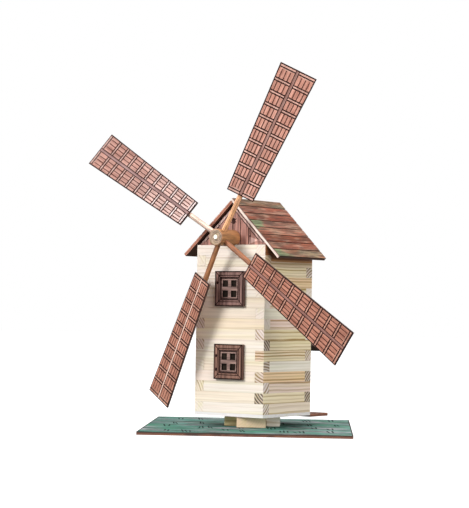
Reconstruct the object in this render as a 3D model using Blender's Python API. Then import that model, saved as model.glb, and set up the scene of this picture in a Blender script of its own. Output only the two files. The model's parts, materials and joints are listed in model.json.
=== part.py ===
"""A table-top post windmill, built of stacked pine strips on a plywood base.

Run with: blender --background --python part.py

The base board carries a half-lapped cross and an upright pivot dowel.  The mill body, a hollow
tower of strips with a pitched plywood roof, turns on that dowel.  A hub with four spars and four
tapered sails turns on a windshaft that runs through the front gable.

Every length is in metres.  The origin is under the board, on the pivot's axis; +Z is up and -Y is
the front of the board.  The mill's own front faces -Y of the empty "mill_axis".
"""

from math import cos, pi, radians, sin, sqrt, tan

import bmesh
import bpy
from mathutils import Matrix, Vector

MM = 0.001
GAP = 0.3 * MM  # left between pieces that touch or are glued
PLY = 3.0 * MM  # plywood sheet
STRIP = 10.0 * MM  # square pine strip
ROUND_SEGMENTS = 32

# Base
BOARD_X = (-101.0 * MM, 95.0 * MM)
BOARD_Y = (-118.0 * MM, 118.0 * MM)
BEAM_WIDTH = 27.4 * MM
LONG_BEAM_LENGTH = 75.0 * MM
SHORT_BEAM_LENGTH = 53.0 * MM
CROSS_TOP = PLY + STRIP
PIVOT_RADIUS = 4.0 * MM
PIVOT_TOP = 33.0 * MM
WASHER_RADIUS = 9.0 * MM
WASHER_THICKNESS = 1.2 * MM
COLLAR_RADIUS = 8.0 * MM
COLLAR_HEIGHT = 8.0 * MM

# Tower
MILL_YAW = radians(-33.4)  # how far the mill stands turned on its base
HALF = 40.0 * MM  # half the tower's side
COURSES = 16
FLOOR_BOTTOM = CROSS_TOP + GAP
FLOOR_TOP = FLOOR_BOTTOM + PLY
WALL_TOP = FLOOR_TOP - GAP + COURSES * STRIP

# Windows, on the front wall
WINDOW_X = 1.0 * MM
WINDOW_SIDE = 33.4 * MM
SASH_SIDE = 20.0 * MM
SASH_THICKNESS = 2.4 * MM
PANE_SIDE = 6.2 * MM
PANE_DEPTH = 0.8 * MM
MUNTIN_WIDTH = 3.6 * MM
WINDOW_CENTRES = {"upper": 134.3 * MM, "lower": 65.0 * MM}

# Door, canopy and doorstep, on the back wall
DOOR_WIDTH = 30.0 * MM
DOOR_HEIGHT = 58.0 * MM
DOOR_THICKNESS = 2.4 * MM
DOOR_FRAME_WIDTH = 5.0 * MM
CANOPY_WIDTH = 64.0 * MM
CANOPY_LENGTH = 33.0 * MM
CANOPY_PITCH = radians(22)
CANOPY_TOP = 90.0 * MM
STEP_WIDTH = 80.0 * MM
STEP_DEPTH = 31.0 * MM
STEP_TOP = 14.6 * MM

# Roof, pitched at 45 degrees on the right and a little flatter on the left
LEFT_ROOF_PITCH = radians(42.8)
ROOF_FRONT = -38.5 * MM
ROOF_LENGTH = 79.5 * MM
ROOF_SLOPE_LENGTH = 78.0 * MM
GABLE_RECESS = 5.0 * MM  # how far each gable stands behind its wall's face
RIDGE_Z = WALL_TOP + HALF + (PLY + GAP) * sqrt(2)

# Rotor
SHAFT_Z = 182.4 * MM
SHAFT_RADIUS = 2.5 * MM
SHAFT_CLEARANCE = 0.5 * MM
SHAFT_BACK = 13.0 * MM
SHAFT_PROUD = 0.3 * MM
HUB_RADIUS = 7.9 * MM
HUB_FRONT = -65.0 * MM
HUB_BACK = -35.5 * MM
HUB_CHAMFER = 0.7 * MM
BLOCK_HEIGHT = 14.0 * MM
BLOCK_BACKS = {"front_bearing_block": -21.5 * MM, "rear_bearing_block": 5.0 * MM}
RETAINER_RADIUS = 6.0 * MM
RETAINER_LENGTH = 6.0 * MM
SPAR_RADIUS = 2.5 * MM
SPAR_PLANE = -56.5 * MM
SPAR_INNER = 4.7 * MM
SPAR_OUTER = 167.0 * MM
SAIL_INNER = 43.5 * MM
SAIL_OUTER = 173.5 * MM
SAIL_INNER_WIDTH = 27.4 * MM
SAIL_OUTER_WIDTH = 36.8 * MM
SAIL_THICKNESS = 1.5 * MM
# Each spar's angle clockwise from straight up, seen from the front, and how far it leans towards the
# tower; its sail's pitch, and how far out along the spar that sail is glued past its usual place.
SPARS = {
    "a": (radians(29.5), 0.0, radians(28.0), 2.0 * MM),
    "b": (radians(-59.4), 0.0, radians(22.3), -1.5 * MM),
    "c": (radians(206.0), radians(3.5), radians(17.5), 0.0),
    "d": (radians(125.5), 0.0, radians(4.8), 1.1 * MM),
}

COLOURS = {
    "pine": (0.80, 0.66, 0.45),
    "pine_dowel": (0.78, 0.62, 0.42),
    "green_ply": (0.12, 0.27, 0.24),
    "brown_ply": (0.24, 0.12, 0.09),
    "roof_ply": (0.28, 0.15, 0.10),
    "sail_ply": (0.52, 0.25, 0.19),
    "stained_dowel": (0.42, 0.22, 0.10),
}


def clear_scene():
    for obj in list(bpy.data.objects):
        bpy.data.objects.remove(obj, do_unlink=True)


def wood(name):
    """The material of one kind of wood, made once."""
    found = bpy.data.materials.get(name)
    if found:
        return found
    made = bpy.data.materials.new(name)
    made.use_nodes = True
    shader = made.node_tree.nodes["Principled BSDF"]
    shader.inputs["Base Color"].default_value = (*COLOURS[name], 1.0)
    shader.inputs["Roughness"].default_value = 0.65
    shader.inputs["Metallic"].default_value = 0.0
    return made


def empty(name, location, yaw=0.0, parent=None):
    made = bpy.data.objects.new(name, None)
    made.location = location
    made.rotation_euler = (0.0, 0.0, yaw)
    made.parent = parent
    bpy.context.scene.collection.objects.link(made)
    return made


def mesh_object(name, mesh_builder, wood_name, parent):
    """A named object whose mesh a bmesh function fills, with its faces turned outwards."""
    mesh = bpy.data.meshes.new(name)
    bm = bmesh.new()
    mesh_builder(bm)
    bmesh.ops.recalc_face_normals(bm, faces=bm.faces)
    bm.to_mesh(mesh)
    bm.free()
    obj = bpy.data.objects.new(name, mesh)
    mesh.materials.append(wood(wood_name))
    obj.parent = parent
    bpy.context.scene.collection.objects.link(obj)
    return obj


def prism(outline, start, end, plane="XZ"):
    """A builder of a straight prism: an outline in one plane, drawn out along the third axis."""
    places = {
        "XZ": lambda u, v, w: Vector((u, w, v)),
        "YZ": lambda u, v, w: Vector((w, u, v)),
        "XY": lambda u, v, w: Vector((u, v, w)),
    }
    place = places[plane]

    def build(bm):
        rings = [[bm.verts.new(place(u, v, w)) for u, v in outline] for w in (start, end)]
        bm.faces.new(rings[0])
        bm.faces.new(list(reversed(rings[1])))
        for i in range(len(outline)):
            j = (i + 1) % len(outline)
            bm.faces.new((rings[0][i], rings[1][i], rings[1][j], rings[0][j]))

    return build


def rectangle(u0, v0, u1, v1):
    return [(u0, v0), (u1, v0), (u1, v1), (u0, v1)]


def box(x, y, z):
    """A builder of a box from three (low, high) pairs."""
    return prism(rectangle(x[0], z[0], x[1], z[1]), y[0], y[1])


def rod(radius, start, end, axis="Z", centre=(0.0, 0.0), chamfer=0.0):
    """A builder of a round bar along Z or Y, with its two rims bevelled if a chamfer is given."""

    def build(bm):
        length = end - start
        bmesh.ops.create_cone(
            bm, cap_ends=True, segments=ROUND_SEGMENTS, radius1=radius, radius2=radius, depth=length
        )
        if chamfer:
            rims = [e for e in bm.edges if abs(e.verts[0].co.z - e.verts[1].co.z) < length / 2]
            bmesh.ops.bevel(bm, geom=rims, offset=chamfer, segments=1, affect="EDGES")
        middle = (start + end) / 2
        if axis == "Y":
            bmesh.ops.rotate(bm, verts=bm.verts, matrix=Matrix.Rotation(pi / 2, 3, "X"))
            move = Vector((centre[0], middle, centre[1]))
        else:
            move = Vector((centre[0], centre[1], middle))
        bmesh.ops.translate(bm, verts=bm.verts, vec=move)

    return build


def smooth(obj):
    obj.data.shade_smooth()
    obj.data.set_sharp_from_angle(angle=radians(35))
    return obj


def cut(obj, name, builder, transform=None):
    """Takes a shape out of an object with a hidden cutter."""
    cutter = mesh_object(name, builder, "pine", obj.parent)
    cutter.matrix_basis = obj.matrix_basis @ (transform or Matrix.Identity(4))
    cutter.hide_render = True
    cutter.display_type = "WIRE"
    boolean = obj.modifiers.new(name, "BOOLEAN")
    boolean.operation = "DIFFERENCE"
    boolean.solver = "EXACT"
    boolean.object = cutter


def make_base(root):
    """The painted board, the half-lapped cross on it and the pivot that the mill turns on."""
    mesh_object("base_board", box(BOARD_X, BOARD_Y, (0.0, PLY)), "green_ply", root)
    low, high = PLY + GAP, CROSS_TOP
    lap = (low + high) / 2
    half_width = BEAM_WIDTH / 2
    notch = half_width + GAP
    half_long = LONG_BEAM_LENGTH / 2
    half_short = SHORT_BEAM_LENGTH / 2

    def notched(half_length, whole_face, cut_face, shoulder):
        """Side view of a beam, its middle cut away from one face to the shoulder of the lap."""
        return [
            (-half_length, whole_face),
            (half_length, whole_face),
            (half_length, cut_face),
            (notch, cut_face),
            (notch, shoulder),
            (-notch, shoulder),
            (-notch, cut_face),
            (-half_length, cut_face),
        ]

    long_beam = mesh_object(
        "cross_beam_long",
        prism(notched(half_long, low, high, lap - GAP / 2), -half_width, half_width, "YZ"),
        "pine",
        root,
    )
    short_beam = mesh_object(
        "cross_beam_short",
        prism(notched(half_short, high, low, lap + GAP / 2), -half_width, half_width, "XZ"),
        "pine",
        root,
    )
    for beam in (long_beam, short_beam):
        bore = rod(PIVOT_RADIUS + GAP, 0.0, CROSS_TOP + STRIP)
        cut(beam, beam.name + "_bore_cutter", bore)
    pivot = rod(PIVOT_RADIUS, PLY + GAP, PIVOT_TOP, chamfer=0.6 * MM)
    smooth(mesh_object("pivot_dowel", pivot, "pine_dowel", root))
    washer_bottom = FLOOR_TOP + GAP
    collar_bottom = washer_bottom + WASHER_THICKNESS + GAP
    rings = (
        ("pivot_washer", WASHER_RADIUS, washer_bottom, WASHER_THICKNESS, "pine"),
        ("pivot_collar", COLLAR_RADIUS, collar_bottom, COLLAR_HEIGHT, "pine_dowel"),
    )
    for name, radius, bottom, height, wood_name in rings:
        ring = smooth(mesh_object(name, rod(radius, bottom, bottom + height), wood_name, root))
        bore = rod(PIVOT_RADIUS + GAP, bottom - PLY, bottom + height + PLY)
        cut(ring, name + "_bore_cutter", bore)


def wall_outline():
    """Side view of one wall.  Its ends step in and out from course to course, because the strips
    of neighbouring walls cross at the corner in turn: even courses reach the +U corner and stop
    short of the other, odd courses the other way round."""
    bottom = FLOOR_TOP + GAP
    short = HALF - STRIP - GAP
    levels = [FLOOR_TOP - GAP + k * STRIP for k in range(COURSES + 1)]

    def side(full_on_even):
        points = []
        for k in range(COURSES):
            full = (k % 2 == 0) == full_on_even
            inset = GAP / 2 if full else -GAP / 2
            low = bottom if k == 0 else levels[k] + inset
            high = WALL_TOP if k == COURSES - 1 else levels[k + 1] - inset
            reach = HALF if full else short
            points += [(reach, low), (reach, high)]
        return points

    right = side(True)
    left = [(-u, v) for u, v in reversed(side(False))]
    return right + left


def make_tower(mill):
    """The floor and four walls, each wall the same comb-ended slab turned a quarter turn.  The
    front wall's top has a shallow scoop that the hub turns in."""
    floor = mesh_object(
        "floor_plate",
        box((-HALF, HALF), (-HALF, HALF), (FLOOR_BOTTOM, FLOOR_TOP)),
        "pine",
        mill,
    )
    cut(floor, "floor_bore_cutter", rod(PIVOT_RADIUS + SHAFT_CLEARANCE, 0.0, PIVOT_TOP))
    slab = prism(wall_outline(), -HALF, -HALF + STRIP)
    for turns, name in enumerate(("front_wall", "right_wall", "back_wall", "left_wall")):
        wall = mesh_object(name, slab, "pine", mill)
        wall.rotation_euler = (0.0, 0.0, turns * pi / 2)
        if name == "front_wall":
            centre = (0.0, SHAFT_Z)
            scoop = rod(HUB_RADIUS + SHAFT_CLEARANCE, HUB_FRONT, HUB_BACK + GAP, "Y", centre)
            cut(wall, "hub_scoop_cutter", scoop)


def make_windows(mill):
    """Two square windows, each a frame round a four-pane sash with sunk panes."""
    face = -HALF - GAP
    half_frame = WINDOW_SIDE / 2
    half_sash = SASH_SIDE / 2
    pane_centre = (PANE_SIDE + MUNTIN_WIDTH) / 2
    for place, height in WINDOW_CENTRES.items():
        centre = Vector((WINDOW_X, face, height))
        outline = rectangle(-half_frame, -half_frame, half_frame, half_frame)
        frame = mesh_object(place + "_window_frame", prism(outline, -PLY, 0.0), "brown_ply", mill)
        frame.location = centre
        opening = half_sash + GAP
        hole = prism(rectangle(-opening, -opening, opening, opening), -2 * PLY, PLY)
        cut(frame, place + "_window_cutter", hole)
        outline = rectangle(-half_sash, -half_sash, half_sash, half_sash)
        sash = mesh_object(
            place + "_window_sash", prism(outline, -SASH_THICKNESS, 0.0), "brown_ply", mill
        )
        sash.location = centre
        half_pane = PANE_SIDE / 2
        pane = prism(
            rectangle(-half_pane, -half_pane, half_pane, half_pane),
            -2 * SASH_THICKNESS,
            PANE_DEPTH - SASH_THICKNESS,
        )
        for i, side in enumerate((-1, 1)):
            for j, level in enumerate((-1, 1)):
                spot = Matrix.Translation((side * pane_centre, 0.0, level * pane_centre))
                cut(sash, f"{place}_pane_cutter_{i}{j}", pane, spot)


def make_back(mill):
    """The door in its frame, the sloping canopy over it and the doorstep, on the back wall."""
    face = HALF + GAP
    low = FLOOR_TOP
    half_door = DOOR_WIDTH / 2
    inner = half_door + GAP
    outer = inner + DOOR_FRAME_WIDTH
    top = low + DOOR_HEIGHT
    mesh_object(
        "door_leaf",
        box((-half_door, half_door), (face, face + DOOR_THICKNESS), (low, top)),
        "brown_ply",
        mill,
    )
    frame = [
        (-outer, low),
        (-inner, low),
        (-inner, top + GAP),
        (inner, top + GAP),
        (inner, low),
        (outer, low),
        (outer, top + GAP + DOOR_FRAME_WIDTH),
        (-outer, top + GAP + DOOR_FRAME_WIDTH),
    ]
    mesh_object("door_frame", prism(frame, face, face + PLY), "brown_ply", mill)
    run = CANOPY_LENGTH * cos(CANOPY_PITCH)
    drop = CANOPY_LENGTH * sin(CANOPY_PITCH)
    sheet_drop = PLY / cos(CANOPY_PITCH)
    canopy = [
        (face, CANOPY_TOP - sheet_drop),
        (face + run - PLY * sin(CANOPY_PITCH), CANOPY_TOP - drop - PLY * cos(CANOPY_PITCH)),
        (face + run, CANOPY_TOP - drop),
        (face, CANOPY_TOP),
    ]
    half_canopy = CANOPY_WIDTH / 2
    mesh_object(
        "door_canopy", prism(canopy, -half_canopy, half_canopy, "YZ"), "roof_ply", mill
    )
    half_step = STEP_WIDTH / 2
    mesh_object(
        "doorstep",
        box((-half_step, half_step), (face, face + STEP_DEPTH), (STEP_TOP - PLY, STEP_TOP)),
        "roof_ply",
        mill,
    )


def make_roof(mill):
    """Two panels, and the gables under their ends.  The right panel reaches the ridge.  The left one
    butts against its underside, and is shorter by its thickness."""
    ridge = Vector((0.0, RIDGE_Z))
    down_right = Vector((1.0, -1.0)) / sqrt(2)
    down_left = Vector((-1.0, -1.0)) / sqrt(2)
    left_slope = Vector((-cos(LEFT_ROOF_PITCH), -sin(LEFT_ROOF_PITCH)))
    left_inward = Vector((sin(LEFT_ROOF_PITCH), -cos(LEFT_ROOF_PITCH)))
    butt = ridge + down_left * (PLY + GAP) + down_right * PLY
    left_length = ROOF_SLOPE_LENGTH - PLY - GAP
    panels = (
        ("right_roof_panel", ridge, down_right, down_left, ROOF_SLOPE_LENGTH),
        ("left_roof_panel", butt - left_inward * PLY, left_slope, left_inward, left_length),
    )
    for name, start, along, inward, length in panels:
        end = start + along * length
        outline = [start, end, end + inward * PLY, start + inward * PLY]
        body = prism([tuple(p) for p in outline], ROOF_FRONT, ROOF_FRONT + ROOF_LENGTH)
        mesh_object(name, body, "roof_ply", mill)
    base = WALL_TOP + GAP
    peak = RIDGE_Z - (PLY + 2 * GAP) * sqrt(2)
    left_corner = (base - peak) / tan(LEFT_ROOF_PITCH)
    triangle = [(left_corner, base), (peak - base, base), (0.0, peak)]
    face = HALF - GABLE_RECESS
    front = prism(triangle, -face, -face + PLY)
    gable = mesh_object("front_gable", front, "brown_ply", mill)
    cut(gable, "front_gable_bore_cutter", shaft_bore())
    mesh_object("back_gable", prism(triangle, face - PLY, face), "brown_ply", mill)
    half_base = peak - base
    half_top = half_base - BLOCK_HEIGHT
    block_top = base + BLOCK_HEIGHT
    block = [(-half_base, base), (half_base, base), (half_top, block_top), (-half_top, block_top)]
    for name, back in BLOCK_BACKS.items():
        bearing = mesh_object(name, prism(block, back - STRIP, back), "pine", mill)
        cut(bearing, name + "_bore_cutter", shaft_bore())


def shaft_bore():
    """A cutter for the holes that the windshaft turns in."""
    radius = SHAFT_RADIUS + SHAFT_CLEARANCE
    return rod(radius, HUB_FRONT, SHAFT_BACK + STRIP, "Y", (0.0, SHAFT_Z))


def make_rotor(rotor):
    """The hub on its windshaft, with four spars and the sails glued to their front.  The rotor's
    empty is at the shaft's height, so heights here are measured from the shaft."""
    hub_rod = rod(HUB_RADIUS, HUB_FRONT, HUB_BACK, "Y", chamfer=HUB_CHAMFER)
    hub = smooth(mesh_object("hub", hub_rod, "stained_dowel", rotor))
    through = rod(SHAFT_RADIUS + GAP, HUB_FRONT - STRIP, HUB_BACK + STRIP, "Y")
    cut(hub, "hub_bore_cutter", through)
    shaft = rod(SHAFT_RADIUS, HUB_FRONT - SHAFT_PROUD, SHAFT_BACK, "Y", chamfer=0.4 * MM)
    smooth(mesh_object("windshaft", shaft, "pine_dowel", rotor))
    retainer_front = BLOCK_BACKS["rear_bearing_block"] + SHAFT_CLEARANCE
    retainer_back = retainer_front + RETAINER_LENGTH
    retainer = smooth(
        mesh_object(
            "shaft_retainer",
            rod(RETAINER_RADIUS, retainer_front, retainer_back, "Y"),
            "pine_dowel",
            rotor,
        )
    )
    bore = rod(SHAFT_RADIUS + GAP, retainer_front - PLY, retainer_back + PLY, "Y")
    cut(retainer, "retainer_bore_cutter", bore)
    sail_front = -(SPAR_RADIUS + GAP + SAIL_THICKNESS)
    sail_back = -(SPAR_RADIUS + GAP)
    inner, outer = SAIL_INNER_WIDTH / 2, SAIL_OUTER_WIDTH / 2
    for letter, (angle, lean, pitch, shift) in SPARS.items():
        place = Matrix.Translation((0.0, SPAR_PLANE, 0.0)) @ Matrix.Rotation(angle, 4, "Y")
        place = place @ Matrix.Rotation(-lean, 4, "X")
        spar_rod = rod(SPAR_RADIUS, SPAR_INNER, SPAR_OUTER, chamfer=0.4 * MM)
        spar = smooth(mesh_object("spar_" + letter, spar_rod, "stained_dowel", rotor))
        spar.matrix_basis = place
        socket = rod(SPAR_RADIUS + GAP, SPAR_INNER - GAP, HUB_RADIUS + STRIP)
        cut(hub, f"hub_socket_cutter_{letter}", socket, place)
        sail_outline = [
            (-inner, SAIL_INNER + shift),
            (inner, SAIL_INNER + shift),
            (outer, SAIL_OUTER + shift),
            (-outer, SAIL_OUTER + shift),
        ]
        sail_plate = prism(sail_outline, sail_front, sail_back)
        sail = mesh_object("sail_" + letter, sail_plate, "sail_ply", rotor)
        sail.matrix_basis = place @ Matrix.Rotation(pitch, 4, "Z")


def main():
    clear_scene()
    base = empty("base_origin", (0.0, 0.0, 0.0))
    mill = empty("mill_axis", (0.0, 0.0, 0.0), MILL_YAW, base)
    rotor = empty("rotor_axis", (0.0, 0.0, SHAFT_Z), 0.0, mill)
    make_base(base)
    make_tower(mill)
    make_windows(mill)
    make_back(mill)
    make_roof(mill)
    make_rotor(rotor)


main()
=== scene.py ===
"""The looks of the table-top windmill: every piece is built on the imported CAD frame.

Plates (roof, gables, windows, sails, board) are cut with real engraved lines, walls are stacked
from separate strips, and every wood has its own procedural grain.  Lengths are in metres.
"""

import json
from math import atan2, cos, pi, radians, sin, sqrt
from random import Random

import bmesh
import bpy
import numpy as np
from mathutils import Matrix, Vector
from mathutils.geometry import delaunay_2d_cdt


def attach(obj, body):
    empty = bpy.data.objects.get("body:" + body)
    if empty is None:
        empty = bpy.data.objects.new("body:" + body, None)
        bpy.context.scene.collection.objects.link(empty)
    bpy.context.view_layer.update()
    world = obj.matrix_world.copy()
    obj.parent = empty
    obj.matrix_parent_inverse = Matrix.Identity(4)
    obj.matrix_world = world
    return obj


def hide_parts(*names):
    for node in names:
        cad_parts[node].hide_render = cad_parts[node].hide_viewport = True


MM = 0.001
PLY = 3.0 * MM  # the plywood's thickness
CLEARANCE = 0.3 * MM  # between pieces that touch
SHARP = radians(40)  # the bend from which an edge is shaded as an edge

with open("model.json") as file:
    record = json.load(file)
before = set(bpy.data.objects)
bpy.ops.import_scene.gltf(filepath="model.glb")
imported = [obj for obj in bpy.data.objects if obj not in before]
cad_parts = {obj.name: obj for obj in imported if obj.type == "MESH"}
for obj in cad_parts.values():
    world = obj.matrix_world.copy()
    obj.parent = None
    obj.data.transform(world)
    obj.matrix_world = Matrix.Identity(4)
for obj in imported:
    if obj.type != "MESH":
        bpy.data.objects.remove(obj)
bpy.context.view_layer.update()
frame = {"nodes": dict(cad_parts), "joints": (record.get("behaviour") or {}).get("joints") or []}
joints = {joint["name"]: joint for joint in frame["joints"]}
shaft_axis = Vector(joints["rotor_spin"]["axis"])
shaft_point = Vector(joints["rotor_spin"]["pos_m"])
mill_turn = Matrix.Rotation(-atan2(shaft_axis.x, shaft_axis.y), 4, "Z")
UP = Vector((0, 0, 1))
FORWARD = mill_turn @ Vector((0, -1, 0))  # the way the mill's front faces
RIGHT = mill_turn @ Vector((1, 0, 0))

# ---------------------------------------------------------------- camera, light and floor

CAMERA_AT = Vector((0.0602, -1.7805, 0.1163))
CAMERA_PAN, CAMERA_TILT, CAMERA_ROLL = radians(-2.58), radians(1.67), radians(-0.94)
CAMERA_LENS = 130.5
LIGHTS_AIM = Vector((0.0, 0.0, 0.14))
LIGHTS = (  # name, place, diameter in metres and watts
    ("key", (-1.25, -0.85, 0.85), 0.7, 22.5),
    ("front_fill", (0.9, -1.6, 1.05), 1.2, 13.0),
    ("low_fill", (1.1, -1.5, 0.10), 0.6, 8.0),
    ("top_fill", (0.3, 0.1, 1.6), 1.2, 7.0),
    ("rear_fill", (0.7, 1.5, 0.8), 1.2, 8.0),
)
FLOOR_HALF = 6.0
FLOOR_DROP = 0.02 * MM  # keeps the floor clear of the board's underside


def new_object(name, data):
    made = bpy.data.objects.new(name, data)
    bpy.context.scene.collection.objects.link(made)
    return made


def make_camera():
    data = bpy.data.cameras.new("camera")
    data.lens = CAMERA_LENS
    data.sensor_width = 36.0
    data.clip_start = 0.05
    camera = new_object("camera", data)
    turn = Matrix.Rotation(-CAMERA_PAN, 4, "Z") @ Matrix.Rotation(pi / 2 + CAMERA_TILT, 4, "X")
    roll = Matrix.Rotation(-CAMERA_ROLL, 4, "Z")
    camera.matrix_world = Matrix.Translation(CAMERA_AT) @ turn @ roll
    bpy.context.scene.camera = camera


def make_lights():
    for name, at, size, watts in LIGHTS:
        data = bpy.data.lights.new(name, "AREA")
        data.shape = "DISK"
        data.size = size
        data.energy = watts
        light = new_object(name, data)
        light.location = at
        light.rotation_euler = (Vector(at) - LIGHTS_AIM).to_track_quat("Z", "Y").to_euler()


def make_world():
    """White to the camera, and a soft light from above and from the floor to everything else."""
    world = bpy.data.worlds.new("studio")
    bpy.context.scene.world = world
    world.use_nodes = True
    tree = world.node_tree
    light_path = tree.nodes.new("ShaderNodeLightPath")
    direction = tree.nodes.new("ShaderNodeTexCoord")
    height = tree.nodes.new("ShaderNodeSeparateXYZ")
    tree.links.new(direction.outputs["Generated"], height.inputs[0])
    sky = tree.nodes.new("ShaderNodeMapRange")
    limits = (("From Min", -0.5), ("From Max", 0.3), ("To Min", 0.12), ("To Max", 0.55))
    for name, value in limits:
        sky.inputs[name].default_value = value
    tree.links.new(height.outputs["Z"], sky.inputs["Value"])
    seen = tree.nodes.new("ShaderNodeMath")
    seen.operation = "MAXIMUM"
    tree.links.new(light_path.outputs["Is Camera Ray"], seen.inputs[0])
    tree.links.new(sky.outputs["Result"], seen.inputs[1])
    background = tree.nodes["Background"]
    tree.links.new(seen.outputs[0], background.inputs["Strength"])
    background.inputs["Color"].default_value = (1.0, 1.0, 1.0, 1.0)
    bpy.context.scene.view_settings.view_transform = "Standard"


def make_floor():
    mesh = bpy.data.meshes.new("floor")
    bm = bmesh.new()
    bmesh.ops.create_grid(bm, x_segments=1, y_segments=1, size=FLOOR_HALF)
    bm.to_mesh(mesh)
    bm.free()
    floor = new_object("floor", mesh)
    floor.location.z = -FLOOR_DROP
    floor.visible_diffuse = False
    floor.visible_glossy = False
    shader = Shader("floor")
    white = (1.0, 1.0, 1.0, 1.0)
    shader.finish((0.3, 0.3, 0.3, 1.0), 0.9, emission_color=white, emission_strength=1.0)
    mesh.materials.append(shader.material)


# ---------------------------------------------------------------- shader building


class Shader:
    """Adds nodes to one new material.  Each method returns the new node's output socket."""

    def __init__(self, name, sheen=0.5):
        self.material = bpy.data.materials.new(name)
        self.material.use_nodes = True
        self.tree = self.material.node_tree
        self.principled = self.tree.nodes["Principled BSDF"]
        self.principled.inputs["Specular IOR Level"].default_value = sheen

    def put(self, socket, value):
        if isinstance(value, bpy.types.NodeSocket):
            self.tree.links.new(value, socket)
        else:
            socket.default_value = value

    def add(self, kind, *values, **settings):
        """A new node with its settings made and its first inputs filled."""
        node = self.tree.nodes.new("ShaderNode" + kind)
        for name, value in settings.items():
            setattr(node, name, value)
        for socket, value in zip(node.inputs, values):
            self.put(socket, value)
        return node

    def attribute(self, name, output="Vector"):
        return self.add("Attribute", attribute_name=name).outputs[output]

    def grain_and_tone(self):
        return self.attribute("grain"), self.attribute("tone", "Color")

    def math(self, operation, *values, clamp=False):
        return self.add("Math", *values, operation=operation, use_clamp=clamp).outputs[0]

    def times(self, *values, clamp=False):
        return self.math("MULTIPLY", *values, clamp=clamp)

    def scaled(self, *values, clamp=False):
        """The first value times the second, plus the third."""
        return self.math("MULTIPLY_ADD", *values, clamp=clamp)

    def vector(self, operation, *values):
        node = self.add("VectorMath", *values, operation=operation)
        return node.outputs["Value" if operation == "LENGTH" else "Vector"]

    def split(self, vector):
        return self.add("SeparateXYZ", vector).outputs

    def join(self, x, y, z):
        return self.add("CombineXYZ", x, y, z).outputs[0]

    def noise(self, vector, scale, detail=2.0, roughness=0.5):
        """Smooth noise from 0 to 1; scale is three numbers, in waves per metre."""
        node = self.add("TexNoise", self.vector("MULTIPLY", vector, scale))
        for name, value in (("Scale", 1.0), ("Detail", detail), ("Roughness", roughness)):
            node.inputs[name].default_value = value
        return node.outputs[0]

    def random(self, value):
        node = self.add("TexWhiteNoise", noise_dimensions="1D")
        self.put(node.inputs["W"], value)
        return node.outputs["Value"]

    def ramp(self, factor, stops):
        node = self.add("ValToRGB", factor)
        elements = node.color_ramp.elements
        for i, (place, colour) in enumerate(stops):
            element = elements[i] if i < 2 else elements.new(place)
            element.position = place
            element.color = (*colour, 1.0) if isinstance(colour, tuple) else (colour,) * 3 + (1.0,)
        return node.outputs[0]

    def mix(self, factor, a, b, blend="MIX"):
        node = self.add("Mix", factor, data_type="RGBA", blend_type=blend)
        for socket, value in ((node.inputs[6], a), (node.inputs[7], b)):
            is_plain = isinstance(value, tuple) and len(value) == 3
            self.put(socket, (*value, 1.0) if is_plain else value)
        return node.outputs[2]

    def tint(self, colour, by):
        return self.mix(1.0, colour, by, "MULTIPLY")

    def shade(self, colour, factor, *stops):
        """Multiplies a colour by a ramp of a factor."""
        return self.tint(colour, self.ramp(factor, stops))

    def cover(self, colour, over, factor, *stops):
        """Puts another colour over a colour, as far as a ramp of a factor says."""
        return self.mix(self.ramp(factor, stops), colour, over)

    def bump(self, height, distance):
        node = self.add("Bump")
        node.inputs["Distance"].default_value = distance
        self.put(node.inputs["Height"], height)
        return node.outputs[0]

    def finish(self, colour, roughness, normal=None, **others):
        self.put(self.principled.inputs["Base Color"], colour)
        self.put(self.principled.inputs["Roughness"], roughness)
        if normal is not None:
            self.put(self.principled.inputs["Normal"], normal)
        for name, value in others.items():
            self.put(self.principled.inputs[name.replace("_", " ").title()], value)
        return self.material


# ---------------------------------------------------------------- woods
# Every piece carries three attributes: "grain" is a point's place in the log, with x along the
# fibres and the pith on the x axis; "tone" tints it; "figure" is how strongly its rings show.


def rings(shader, grain, spacing):
    """How dark a point is for its place in its growth ring, and the ring's own random number."""
    waves = shader.noise(grain, (16.0, 60.0, 60.0))
    offset = shader.times(shader.math("SUBTRACT", waves, 0.5), 2.6 * MM)
    _, y, z = shader.split(grain)
    radius = shader.math("ADD", shader.vector("LENGTH", shader.join(0.0, y, z)), offset)
    turns = shader.math("DIVIDE", radius, spacing)
    stops = [(0.0, 0.05), (1.0, 0.0), (0.40, 0.12), (0.72, 0.75), (0.90, 1.0)]
    late = shader.ramp(shader.math("FRACT", turns), stops)
    return late, shader.random(shader.math("FLOOR", turns))


def pine_material(name, light, dark, spacing, mottle=0.0):
    """Bare softwood: pale early wood and thin darker late wood, in rings about the pith."""
    shader = Shader(name)
    grain, tone = shader.grain_and_tone()
    figure = shader.attribute("figure", "Fac")
    late, own = rings(shader, grain, spacing)
    strength = shader.times(late, shader.scaled(own, 0.9, 0.25))
    strength = shader.times(strength, figure, clamp=True)
    colour = shader.mix(strength, light, dark)
    bold = shader.times(late, shader.scaled(figure, 0.3, -0.45), clamp=True)
    colour = shader.mix(bold, colour, (0.085, 0.065, 0.060))
    fibres = shader.noise(grain, (40.0, 1500.0, 1500.0), detail=3.0)
    colour = shader.shade(colour, fibres, (0.25, 0.90), (0.75, 1.05))
    if mottle:
        blotches = shader.noise(grain, (70.0, 380.0, 380.0), detail=3.0)
        colour = shader.shade(colour, blotches, (0.40, 1.0 - mottle), (0.60, 1.0 + 0.6 * mottle))
    blush = shader.noise(grain, (9.0, 190.0, 190.0), detail=1.0)
    stops = [(0.32, (0.97, 0.98, 0.87)), (0.70, (1.0, 0.965, 0.955)), (0.5, (1.0, 1.0, 1.0))]
    colour = shader.tint(shader.shade(colour, blush, *stops), tone)
    height = shader.scaled(strength, 0.6, shader.times(fibres, 0.5))
    rough = shader.scaled(strength, -0.12, 0.62)
    return shader.finish(colour, rough, shader.bump(height, 0.12 * MM))


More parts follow.
